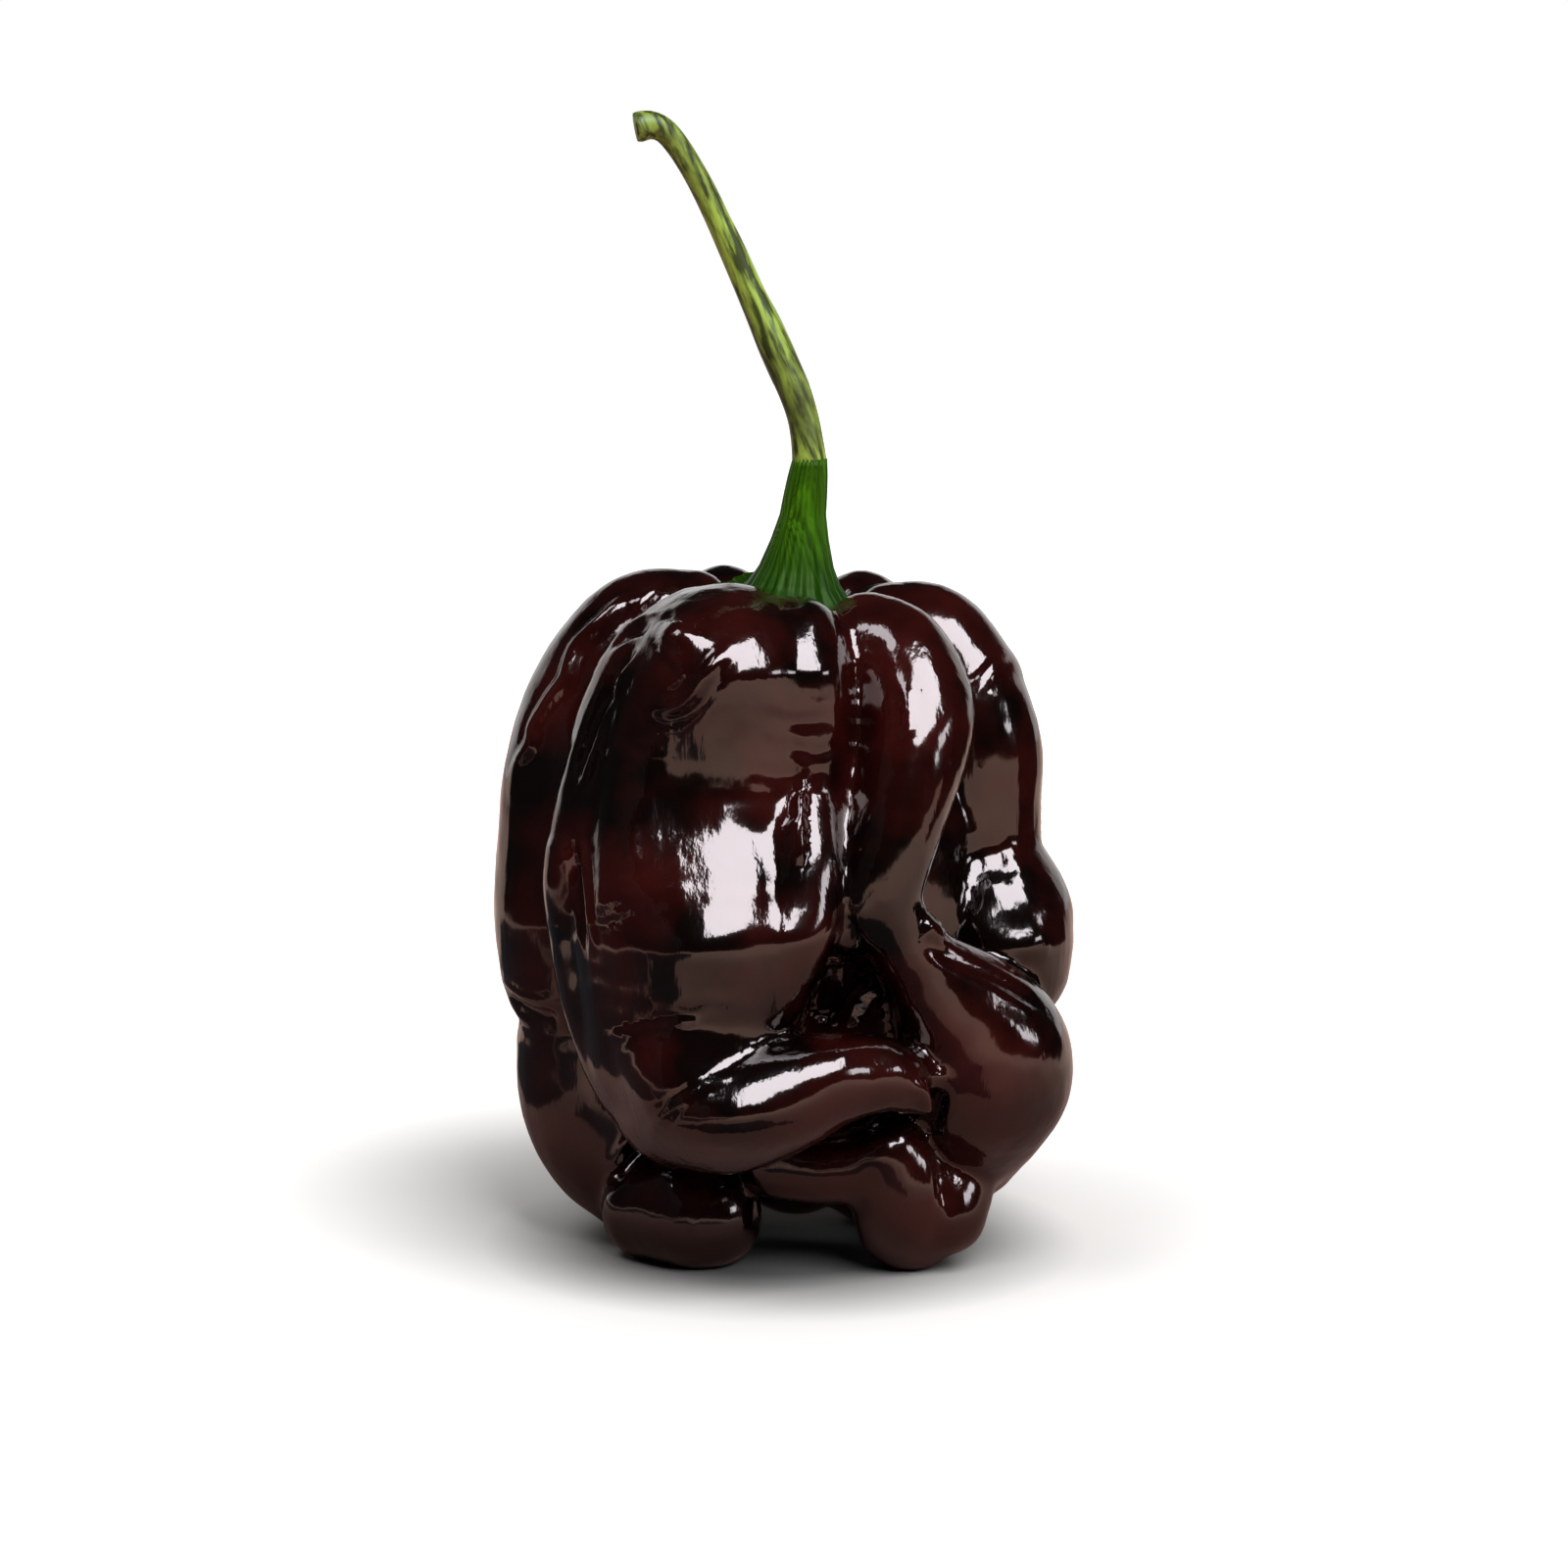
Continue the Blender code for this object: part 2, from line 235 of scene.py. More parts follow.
CAMERA_RISE = math.radians(9)
CAMERA_LENS = 100
SENSOR_WIDTH = 36
VIEW_WIDTH = 0.1072
LOOK_AT = Vector((0, 0.0006, 0.0319))
camera = bpy.data.objects.new("camera", bpy.data.cameras.new("camera"))
bpy.context.scene.collection.objects.link(camera)
bpy.context.scene.camera = camera
camera.data.lens = CAMERA_LENS
camera.data.sensor_width = SENSOR_WIDTH
camera.data.clip_start = 0.01
camera_way = Vector((0, -math.cos(CAMERA_RISE), math.sin(CAMERA_RISE)))
camera.location = LOOK_AT + camera_way * (VIEW_WIDTH * CAMERA_LENS / SENSOR_WIDTH)
camera.rotation_mode = "QUATERNION"
camera.rotation_quaternion = (-camera_way).to_track_quat("-Z", "Y")
bpy.context.scene.view_settings.view_transform = "Standard"


# ---- Pod -----------------------------------------------------------------------------------------
# The fruit wall: one waxy skin swollen into lobes that press against each other and fold over, with
# a lip across the lower front. The lobes are limbs of close-set balls fused by a voxel grid; creases,
# ridges and swellings are then pushed into the fused skin.

# Each lobe is a limb along its stations (x, y, z, radius), in millimetres, as in the frame.
LOBES = {
    "cheek": [(-2.2, -7.0, 42.3, 3.8), (-4, -7.6, 39, 7.4), (-4.3, -7.6, 34, 8.4), (-5, -8, 29.5, 8.6),
              (-5.4, -9.2, 25.2, 8.9), (-5.8, -9.8, 22.4, 8.3), (-6.1, -10.4, 19.4, 7.6),
              (-6.3, -10.8, 16.6, 7)],
    "cheek_flank": [(0.8, -7.4, 42.2, 3.6), (1, -9.4, 39.4, 3.7), (1, -10.6, 36, 3.7), (0.9, -11, 33, 3.8),
                    (0.6, -12.4, 28, 3.9), (-0.2, -13, 24, 3.6), (-1.6, -13, 20.5, 3.4)],
    "cheek_rim": [(-5.7, -6, 43.4, 2.8), (-8.6, -7, 41.4, 3), (-10.4, -8, 38, 3.1), (-11.4, -8.5, 34.2, 3.1),
                  (-12.2, -9, 31.4, 3.1), (-12.8, -9, 27.7, 3.1), (-12.3, -9, 23.4, 3.3),
                  (-11.3, -9.8, 19.1, 3.5), (-9.5, -10.6, 15.1, 3.8), (-6.6, -12.2, 12.1, 4.1)],
    "lip": [(-7, -12, 12.8, 4.5), (-3.8, -14.2, 12.9, 4.7), (0, -14.9, 13.8, 4), (3.2, -15.2, 14.8, 3.1),
            (6.3, -14.6, 15, 2.6), (8.4, -13.6, 14, 2)],
    "left": [(-6.2, 2.6, 43.6, 2.8), (-9.7, 2, 41.4, 4.8), (-12.6, 1, 36.8, 5.2), (-13.8, 0, 32, 5.4),
             (-14.1, 0, 27, 5.6), (-14.1, -0.5, 23, 5.8), (-13.9, -0.5, 19.4, 5.5)],
    "left_low": [(-13.5, 0, 14.1, 4.9), (-13.3, 0, 10.6, 5), (-12.1, 0, 7.2, 4.8), (-9.5, 0, 4.6, 4.5)],
    "ridge": [(5.6, -4.8, 42.6, 3.1), (7.6, -6.3, 41.3, 3.7), (8.8, -8.3, 38.4, 3.9),
              (8.6, -10.1, 35.7, 3.6), (7.9, -11.4, 32.6, 3.3), (7, -12.3, 29.6, 3.1),
              (6.6, -12.9, 26.9, 2.7), (7.1, -12.8, 24.6, 2.4)],
    "valley": [(5, -6.2, 40.5, 2.9), (5.2, -8, 36.5, 2.9), (5, -9.4, 32, 2.9), (4.8, -10.4, 28, 2.9),
               (4.8, -10.8, 24.6, 2.8)],
    "right_fold": [(7.1, -12.6, 24.6, 2.5), (9.1, -11.6, 21.5, 2.9), (12.1, -9.5, 17.5, 4.8),
                   (13.6, -8, 14.5, 6), (13.4, -6.4, 12, 5.5), (12, -2.4, 8.2, 5)],
    "right_top": [(7.4, 2.8, 42.3, 3.2), (10.1, 3, 41, 4.3), (12.7, 1.5, 38.5, 3.9)],
    "right_waist": [(12.8, 0.7, 36.8, 4.3), (13.2, 0.6, 34.4, 4.6), (13.2, 0.6, 31, 4.6),
                    (13.2, 0.5, 27.6, 4.6)],
    "right_low": [(13.9, -0.4, 24.8, 4.9), (14.5, -1, 22.6, 5.5), (14.4, -1.2, 20.2, 5.5)],
    "foot_left": [(-9, -4.5, 3.2, 3.5), (-6, -6.5, 3.6, 4), (-4.8, -6.5, 3.4, 3.5)],
    "foot_middle": [(-0.3, -8, 7.5, 2.6), (2.6, -8.5, 7.3, 2.6), (5.3, -9, 7.7, 2.8)],
    "foot_right": [(6.9, -9.5, 8.5, 2.8), (8.1, -8.5, 5.3, 3.6), (8.6, -7, 3.3, 3.7)],
    "foot_ledge": [(11.8, -5.2, 8, 3.1), (11.4, -6.6, 6, 3.1), (10.8, -7.8, 4, 3.1)],
    "back_left": [(-4, 6.8, 42.8, 3.5), (-7, 9.4, 37.6, 6.3), (-9, 10, 31, 6.9), (-9.6, 9.8, 24, 7.3),
                  (-9, 9.4, 17.5, 6.8), (-7.4, 8, 11, 6.4), (-5.8, 6.4, 5.3, 5.8)],
    "back_middle": [(1, 8, 42.4, 3.2), (0.6, 11.6, 38, 4.8), (-0.4, 13.2, 32, 5), (-0.2, 13.4, 26, 5.2),
                    (1, 12.6, 20, 5.4), (1.4, 10.8, 13.5, 5), (0.8, 7.6, 7.6, 4.7), (0.8, 4.6, 5.2, 4.6)],
    "back_right": [(5.4, 6.4, 42.6, 3.4), (8.4, 8.4, 37.6, 5.6), (10.4, 9, 33, 5.9), (11, 9.2, 26.5, 6.6),
                   (10.2, 9, 19.4, 6.6), (8.6, 7.6, 12, 6.2), (7, 6, 5.3, 5.8)],
    "right_base": [(12.8, 1, 17, 4.6), (12.2, 1, 12.5, 4.8), (10.4, 1, 7.6, 4.6)],
}
# The fruit's middle, behind and between the lobes: centre and half-axes.
CORES = [((0.3, 2.6, 24), (15.2, 13, 19)), ((0.9, 0, 38), (7, 7, 5.6))]
FOOTPRINT_MIDDLE = Vector((0.085, -0.248, 0))
BALL_SPACING = 0.15
SKIN_VOXEL = 0.34
RELAX_ROUNDS = 10

# Marks pushed into the skin: kind, depth, half-width, then the line (across, up) in millimetres as
# seen from that side. A negative depth is a hollow. A crease has raised edges, or sunk ones where its
# line stands out; a swell fades towards its ends, and a bulge is round all over.
FRONT_MARKS = [
    # the cheek: a small dome beside its shelf, and its brow
    ("swell", 1.2, 3.0, [(0.2, 31.6), (1.8, 31.4)]),
    ("swell", 0.6, 3.0, [(-10.4, 38.0), (-10.4, 31.0), (-9.8, 25.0)]),
    ("swell", 0.5, 3.2, [(-8.8, 19.5), (-8.0, 16.0), (-6.4, 13.4)]),
    ("swell", -0.6, 1.3, [(2.6, 18.4), (1.4, 16.4), (0.8, 14.2)]),
    ("crease", -0.07, 0.5, [(-1.4, 38.9), (0.6, 38.1), (3.6, 38.4)]),
    ("crease", -0.09, 0.4, [(0.4, 36.7), (2.2, 36.0), (4.0, 36.6)]),
    ("crease", -0.06, 0.5, [(-2.6, 35.4), (0.6, 34.5), (3.4, 35.2)]),
    # the fold from the brow to the left shoulder
    ("crease", 0.42, 0.45, [(-3.6, 43.2), (-5.0, 41.4), (-6.1, 39.9), (-7.1, 39.3), (-8.7, 39.2)]),
    ("swell", 0.8, 1.5, [(-7.8, 42.6), (-6.0, 44.4)]),
    ("crease", -0.12, 0.4, [(-8.4, 43.6), (-7.4, 43.0), (-6.2, 42.9)]),
    ("crease", -0.12, 0.4, [(-7.6, 45.0), (-6.6, 44.2), (-5.2, 44.3)]),
    # the cheek's rolled left rim, with a groove inside it
    ("crease", 0.35, 0.45, [(-8.3, 45.5), (-9.8, 44.3), (-11.4, 42.4), (-12.3, 40.2), (-13.2, 37.8),
                            (-14.1, 35.8), (-14.8, 33.6), (-14.8, 31.2)]),
    ("crease", -0.45, 0.6, [(-9.6, 43.0), (-10.8, 41.0), (-11.7, 38.8), (-12.9, 36.0), (-13.8, 33.4)]),
    ("crease", 0.35, 0.42, [(-9.6, 42.3), (-10.4, 40.8), (-11.2, 39.4), (-12.0, 37.6), (-12.6, 35.6),
                            (-13.2, 33.2)]),
    ("crease", 0.22, 0.35, [(-13.3, 30.8), (-12.8, 27.5), (-12.4, 23.6)]),
    ("crease", -0.3, 0.4, [(-13.9, 30.6), (-13.4, 27.2), (-12.9, 23.0)]),
    ("swell", 0.5, 1.6, [(-14.4, 30.4), (-14.8, 27.0), (-14.2, 23.6)]),
    # the ridge right of the valley, and its sharp right edge
    ("crease", 0.15, 0.45, [(4.4, 46.0), (6.4, 45.8), (8.4, 44.9), (10.2, 43.6), (11.4, 42.2),
                            (12.1, 40.6), (12.5, 38.8), (12.3, 36.8), (11.6, 34.6), (11.0, 32.4),
                            (10.2, 30.0), (9.3, 27.4)]),
    ("crease", 0.2, 0.4, [(8.0, 40.6), (8.2, 38.6), (8.1, 36.8)]),
    # the hem on top of the right fold
    ("crease", -0.25, 0.5, [(9.2, 24.0), (11.2, 22.4), (13.8, 21.0), (16.0, 19.6), (17.6, 18.2)]),
    ("swell", 0.5, 0.9, [(9.0, 25.0), (11.4, 23.6), (14.2, 22.2), (16.6, 20.8)]),
    # the pit over the lip, and its curved rim
    ("swell", -0.7, 1.8, [(4.2, 19.2), (5.6, 18.0)]),
    ("crease", 0.4, 0.55, [(2.4, 21.8), (4.6, 22.2), (6.6, 21.4), (7.8, 19.8), (8.5, 17.6)]),
    # the lip's curled tip, and the fold that it makes in the right foot
    ("crease", 0.3, 0.5, [(8.4, 14.6), (9.4, 13.8), (9.4, 12.6), (8.6, 11.6)]),
    ("crease", -0.6, 0.6, [(9.6, 14.8), (10.2, 13.4), (10.0, 11.6), (9.6, 9.4)]),
    ("crease", -0.3, 0.5, [(7.0, 11.2), (8.4, 11.8), (9.6, 11.4)]),
    # feet
    ("crease", 0.4, 0.5, [(-9.4, 9.2), (-10.8, 7.8), (-12.0, 6.2)]),
    ("crease", -0.4, 0.5, [(-8.8, 8.6), (-10.2, 7.0), (-11.4, 5.4)]),
    ("swell", 0.4, 1.2, [(-8.4, 8.0), (-6.6, 8.4)]),
    # the left lobe: its sharp crest and the pinch above its foot
    ("crease", 0.5, 0.55, [(-8.9, 45.4), (-10.9, 44.5), (-12.5, 43.1), (-14, 41.6), (-14.7, 39.6),
                           (-15.8, 38.1), (-16.8, 36.4), (-17.0, 35.2), (-17.9, 33.8), (-18.3, 32.0)]),
    ("crease", -0.35, 0.6, [(-8.6, 44.2), (-11.6, 42.4), (-13.2, 40.0), (-15.2, 36.8), (-16.4, 33.6)]),
    ("crease", -0.5, 0.7, [(-19.0, 17.6), (-17.2, 16.8), (-15.0, 16.6)]),
    # the right back lobe: its swellings and the pinches between them
    ("crease", -0.15, 0.8, [(12.4, 38.4), (14.2, 37.8), (16.4, 36.8)]),
    ("swell", 0.4, 1.6, [(13.6, 40.6), (14.8, 39.6)]),
    ("swell", -0.35, 1.5, [(11.2, 27.8), (13.2, 27.2), (15.8, 27.2)]),
    ("swell", 0.4, 1.2, [(11.6, 24.4), (14.6, 22.0), (18.4, 22.2)]),
    # the groove between the right foot and the ledge beside it
    ("crease", -0.3, 0.6, [(10.2, 9.6), (10.4, 7.6), (10.8, 5.0)]),
]

# The back's and the sides' own furrows, shallow pinches and swellings.
BACK_MARKS = [
    ("bulge", 0.5, 3.4, [(8.2, 33.0), (9.4, 27.0)]),
    ("bulge", 0.5, 3.4, [(-9.0, 35.0), (-10.4, 29.5)]),
    ("bulge", 0.45, 3.0, [(-0.4, 36.0), (0.6, 31.0)]),
    ("bulge", 0.5, 3.4, [(-9.6, 19.5), (-8.8, 14.5)]),
    ("bulge", -0.45, 3.0, [(4.2, 21.0), (8.8, 20.4), (13.8, 21.4)]),
    ("crease", -0.45, 0.8, [(10.2, 43.0), (12.6, 38.4), (13.9, 33.0), (13.6, 26.0)]),
    ("crease", 0.35, 0.5, [(5.4, 43.6), (5.2, 39.0), (4.6, 34.0), (4.4, 28.0)]),
    ("crease", -0.4, 0.7, [(-9.0, 42.6), (-11.8, 38.6), (-13.2, 33.6), (-13.0, 27.2)]),
    ("crease", 0.35, 0.5, [(-4.8, 42.6), (-5.4, 37.0), (-5.0, 31.0), (-4.2, 25.0), (-4.4, 19.0)]),
    ("crease", -0.35, 0.8, [(8.6, 18.6), (9.4, 13.0), (8.2, 7.0)]),
    ("crease", -0.3, 0.8, [(-8.0, 16.0), (-8.6, 10.6), (-7.2, 5.6)]),
    ("crease", 0.3, 0.5, [(3.4, 22.0), (3.9, 16.0), (3.4, 10.0)]),
]
RIGHT_MARKS = [
    ("bulge", 0.5, 3.2, [(8.6, 34.0), (9.4, 28.0)]),
    ("crease", -0.4, 0.8, [(7.4, 41.6), (10.6, 37.0), (11.6, 31.0), (11.4, 24.0)]),
    ("crease", 0.35, 0.5, [(3.6, 41.6), (4.8, 37.0), (4.9, 31.0), (4.4, 25.0)]),
]
LEFT_MARKS = [
    ("bulge", 0.5, 3.2, [(-9.4, 35.0), (-10.2, 28.6)]),
    ("crease", -0.4, 0.8, [(-6.0, 42.0), (-9.0, 38.0), (-10.8, 32.0), (-10.6, 25.0)]),
    ("crease", 0.35, 0.5, [(-4.4, 41.6), (-5.2, 36.0), (-5.0, 30.0), (-4.6, 24.0)]),
]

# How far the skin stands out (up, out) in millimetres. The cheek: a flat brow, a hollow and a shelf;
# the lip: a fold and a second shelf. Each swells in between the (start, end) edges at its two sides.
CHEEK_FRONT = [(47, 0), (46, 0.3), (45, 0.6), (44, 0.7), (43, 0.7), (42, 0.7), (41.4, 0.65), (41, 0.5),
               (40, 0.1), (39, -0.25), (38, -0.57), (37, -0.82), (36, -1), (35, -1.12), (34, -1.2),
               (33.3, -1.2), (32.4, -0.98), (31, -0.6), (29, -0.05), (27, 0.5), (26, 0.9), (25, 1.3),
               (24.5, 1.42), (24, 1.45), (22, 1.35), (20, 1.2), (18, 0.9), (16, 0.6), (14, 0.3), (11, 0)]
LIP_FRONT = [(24, 0), (22, 0), (20, 0), (19, 0.1), (18.2, 0.4), (17, 0.95), (16, 1.4), (15, 1.8),
             (14.2, 2.1), (13.4, 2.2), (12.6, 2.1), (11.6, 1.7), (10.6, 1.1), (9.6, 0.5), (8.6, 0.15),
             (8, 0)]
CHEEK_SIDES = ((-12.5, -6), (6.4, 3.4))
LIP_SIDES = ((-11.5, -8), (6, -4))
FRONT_LIMIT_Y = -6
FRONT_FACING = 0.5

# How a mark is felt, in shares of its half-width: how far it reaches, and where a crease's edge stands,
# how wide it is and its share of the depth. Towards its ends, over this share of its length, a mark
# fades to its end share.
LINE_SPACING = 0.25
PROFILE_SPACING = 0.2
MARK_REACH = 3.2
EDGE_PLACE = 1.9
EDGE_WIDTH = 0.8
EDGE_SHARE = 0.3
END_LENGTH = 0.22
END_SHARE = 0.15
# Rays start here, outside the fruit. A line that steps deeper than its kind's limit between two of its
# points has slipped behind a lobe, and those points are left out.
RAY_START_Y = -60
FAR_OFF = 1e9
DEPTH_LIMITS = {"swell": 2.5, "bulge": 2.5, "crease": 1.2}


def along(stations, step):
    """Points on a smooth curve through the stations, a share of the local radius apart."""
    points = [Vector(station) for station in stations]
    points = [2 * points[0] - points[1], *points, 2 * points[-1] - points[-2]]
    path = []
    for before, start, end, after in zip(points, points[1:], points[2:], points[3:]):
        count = max(2, int((end - start).xyz.length / (step * min(start.w, end.w))))
        for i in range(count):
            t = i / count
            path.append(0.5 * (2 * start + (end - before) * t
                               + (2 * before - 5 * start + 4 * end - after) * t * t
                               + (3 * start - before - 3 * end + after) * t ** 3))
    path.append(points[-2])
    return path


def fused_skin():
    """The lobes' balls fused into one closed skin, as a mesh of even quads."""
    bm = bmesh.new()
    for stations in LOBES.values():
        for x, y, z, radius in along(stations, BALL_SPACING):
            place = Matrix.Translation((Vector((x, y, z)) - FOOTPRINT_MIDDLE) * MM)
            bmesh.ops.create_icosphere(bm, subdivisions=3, radius=radius * MM, matrix=place)
    for centre, half_axes in CORES:
        place = Matrix.Translation((Vector(centre) - FOOTPRINT_MIDDLE) * MM)
        stretch = Matrix.Diagonal((*half_axes, 1))
        bmesh.ops.create_icosphere(bm, subdivisions=4, radius=MM, matrix=place @ stretch)
    mesh = bpy.data.meshes.new("lobes")
    bm.to_mesh(mesh)
    bm.free()
    lobes = bpy.data.objects.new("lobes", mesh)
    bpy.context.scene.collection.objects.link(lobes)
    fuse = lobes.modifiers.new("fuse", "REMESH")
    fuse.mode = "VOXEL"
    fuse.voxel_size = SKIN_VOXEL * MM * 1
    relax = lobes.modifiers.new("relax", "SMOOTH")
    relax.factor = 0.5
    relax.iterations = RELAX_ROUNDS
    graph = bpy.context.evaluated_depsgraph_get()
    skin = bpy.data.meshes.new_from_object(lobes.evaluated_get(graph), depsgraph=graph)
    bpy.data.objects.remove(lobes)
    bpy.data.meshes.remove(mesh)
    return skin


def smooth_line(points, spacing):
    """Evenly fine points on a smooth curve through the given ones."""
    raised = [(*point, 0, 1) if len(point) == 2 else (*point, 1) for point in points]
    return [point.xyz for point in along(raised, spacing)]


def skin_points(mesh):
    """The skin's points in millimetres and its normals, as rows."""
    co = np.empty(len(mesh.vertices) * 3)
    normals = np.empty(len(mesh.vertices) * 3)
    mesh.vertices.foreach_get("co", co)
    mesh.vertices.foreach_get("normal", normals)
    return co.reshape(-1, 3) / MM, normals.reshape(-1, 3)


def move_skin(mesh, co):
    """Puts the skin's points where these rows say, in millimetres."""
    mesh.vertices.foreach_set("co", (co * MM).ravel())
    mesh.update()


def ease(share):
    """A share from 0 to 1 that starts and stops softly."""
    return share * share * (3 - 2 * share)


def press_marks(mesh, marks, side, depth_limit):
    """Pushes each mark into the skin: found by a ray from that side, felt by distance from its line."""
    co, normals = skin_points(mesh)
    tree = BVHTree.FromPolygons([tuple(p) for p in co], [tuple(f.vertices) for f in mesh.polygons])
    turn = Matrix.Rotation(math.radians(side), 3, "Z")
    inward = turn @ Vector((0, 1, 0))
    push = np.zeros(len(co))
    for kind, depth, width, line in marks:
        found = []
        for across, up, _ in smooth_line(line, LINE_SPACING * width):
            start = turn @ Vector((across, RAY_START_Y, up)) - FOOTPRINT_MIDDLE
            place, _, _, _ = tree.ray_cast(start, inward)
            if place and (not found or (place - found[-1]).length < depth_limit):
                found.append(place)
        if len(found) < 2:
            continue
        line_points = np.array(found)
        reach = MARK_REACH * width
        near = ((co > line_points.min(0) - reach) & (co < line_points.max(0) + reach)).all(1).nonzero()[0]
        gap = np.full(len(near), FAR_OFF)
        share = np.zeros(len(near))
        for i, point in enumerate(line_points):
            distance = np.linalg.norm(co[near] - point, axis=1)
            closer = distance < gap
            gap[closer] = distance[closer]
            share[closer] = i / (len(line_points) - 1)
        felt = np.exp(-(gap / width) ** 2)
        if kind == "crease":
            felt -= EDGE_SHARE * np.exp(-((gap - EDGE_PLACE * width) / (EDGE_WIDTH * width)) ** 2)
        if kind != "bulge":
            inside = np.clip(np.minimum(share, 1 - share) / END_LENGTH, 0, 1)
            felt *= END_SHARE + (1 - END_SHARE) * ease(inside)
        push[near] += depth * felt
    move_skin(mesh, co + normals * push[:, None])


def press_front(mesh, profile, sides):
    """Moves the front of the skin out by the profile over height, easing in from both sides."""
    co, normals = skin_points(mesh)
    curve = np.array(sorted(tuple(point)[:2] for point in smooth_line(profile, PROFILE_SPACING)))
    out = np.interp(co[:, 2], curve[:, 0], curve[:, 1])
    for start, end in sides:
        out *= ease(np.clip((co[:, 0] - start) / (end - start), 0, 1))
    out *= np.clip(-normals[:, 1] / FRONT_FACING, 0, 1) * (co[:, 1] < FRONT_LIMIT_Y)
    co[:, 1] -= out
    move_skin(mesh, co)


skin = fused_skin()
press_front(skin, CHEEK_FRONT, CHEEK_SIDES)
press_front(skin, LIP_FRONT, LIP_SIDES)
for kind, depth_limit in DEPTH_LIMITS.items():
    for side, marks in ((0, FRONT_MARKS), (90, RIGHT_MARKS), (180, BACK_MARKS), (270, LEFT_MARKS)):
        press_marks(skin, [mark for mark in marks if mark[0] == kind], side, depth_limit)


# Lumps and wrinkles: height, then how often they repeat along x, y and z, and a shift of the pattern.
SKIN_LUMPS = [(0.12, (0.22, 0.22, 0.16), 0), (0.035, (0.8, 0.8, 0.5), 7)]
VALLEY_WRINKLES = [(0.22, (0.35, 0.35, 0.55), 3), (0.05, (0.9, 0.5, 1.3), 9)]
VALLEY_LINE = np.array([(5.4, -8, 42), (5.6, -10, 38), (5.2, -11, 33), (4.8, -11.5, 28), (5, -11.5, 22)])
VALLEY_WIDTH = 1.9
VALLEY_STEPS = 6
LEAST_GATHER = 0.02


def lumps_at(place, lumps):
    """How far the lumps of these sizes stand out at a place."""
    x, y, z = place
    return sum(height * noise.noise((x * often[0], y * often[1], z * often[2] + shift))
               for height, often, shift in lumps)


def pucker(mesh):
    """Fine lumps all over the skin, and cross wrinkles where it is gathered in the valley."""
    co, normals = skin_points(mesh)
    reach = np.full(len(co), FAR_OFF)
    for start, end in zip(VALLEY_LINE, VALLEY_LINE[1:]):
        for t in np.linspace(0, 1, VALLEY_STEPS):
            reach = np.minimum(reach, np.linalg.norm(co - (start + (end - start) * t), axis=1))
    gathered = np.exp(-(reach / VALLEY_WIDTH) ** 2)
    push = np.zeros(len(co))
    for i, place in enumerate(co):
        push[i] = lumps_at(place, SKIN_LUMPS)
        if gathered[i] > LEAST_GATHER:
            push[i] += gathered[i] * lumps_at(place, VALLEY_WRINKLES)
    move_skin(mesh, co + normals * push[:, None])


pucker(skin)

def add_noise(nodes, scale, detail=2):
    """A noise pattern that repeats this often in a metre."""
    node = nodes.new("ShaderNodeTexNoise")
    node.inputs["Scale"].default_value = scale
    node.inputs["Detail"].default_value = detail
    return node


def two_tones(nodes, low, low_tone, high, high_tone):
    """A node that turns a value into a tone: one at low and below, one at high and above."""
    node = nodes.new("ShaderNodeValToRGB")
    for element, place, tone in zip(node.color_ramp.elements, (low, high), (low_tone, high_tone)):
        element.position = place
        element.color = (*tone, 1)
    return node


# Chocolate brown under a hard wax, with a redder blush in clouds.
POD_BROWN = (0.03, 0.005, 0.003)
POD_DARK = (0.0015, 0.0004, 0.0003)
POD_BLUSH = (0.024, 0.0024, 0.0017)
WAX_IOR = 1.65
WAX_TINT = (1, 0.78, 0.70, 1)
pod_brown, pod_tree, pod_shader = make_shader("pod_skin", POD_BROWN, 0.1)
pod_shader.inputs["IOR"].default_value = WAX_IOR
pod_shader.inputs["Specular Tint"].default_value = WAX_TINT
pod_nodes = pod_tree.nodes
pod_links = pod_tree.links
pod_place = pod_nodes.new("ShaderNodeTexCoord")
blush = add_noise(pod_nodes, 130, 3)
blush_colours = two_tones(pod_nodes, 0.42, POD_DARK, 0.7, POD_BLUSH)
pod_links.new(pod_place.outputs["Object"], blush.inputs["Vector"])
pod_links.new(blush.outputs["Fac"], blush_colours.inputs[0])
pod_links.new(blush_colours.outputs["Color"], pod_shader.inputs["Base Color"])
# faint grain along the fruit
GRAIN_STRETCH = (1, 1, 0.16)
GRAIN_STRENGTH = 0.22
GRAIN_HEIGHT = 0.2 * MM
grain_place = pod_nodes.new("ShaderNodeMapping")
grain_place.inputs["Scale"].default_value = GRAIN_STRETCH
grain = add_noise(pod_nodes, 1300, 3)
grain_bump = pod_nodes.new("ShaderNodeBump")
grain_bump.inputs["Strength"].default_value = GRAIN_STRENGTH
grain_bump.inputs["Distance"].default_value = GRAIN_HEIGHT
pod_links.new(pod_place.outputs["Object"], grain_place.inputs["Vector"])
pod_links.new(grain_place.outputs["Vector"], grain.inputs["Vector"])
pod_links.new(grain.outputs["Fac"], grain_bump.inputs["Height"])
pod_links.new(grain_bump.outputs["Normal"], pod_shader.inputs["Normal"])

bm = bmesh.new()
bm.from_mesh(skin)
bpy.data.meshes.remove(skin)
# nothing hangs below the plane that the fruit stands on
for vert in bm.verts:
    vert.co.z = max(vert.co.z, 0)
pod = show(bm, "pod_skin", pod_brown)
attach(pod, "root")
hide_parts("pod")


# ---- Calyx ---------------------------------------------------------------------------------------
# The green collar that holds the fruit: a ribbed trumpet that spreads from the stalk into a thin rim
# with five short teeth. It is turned from a profile, then ribbed, toothed and leant over.

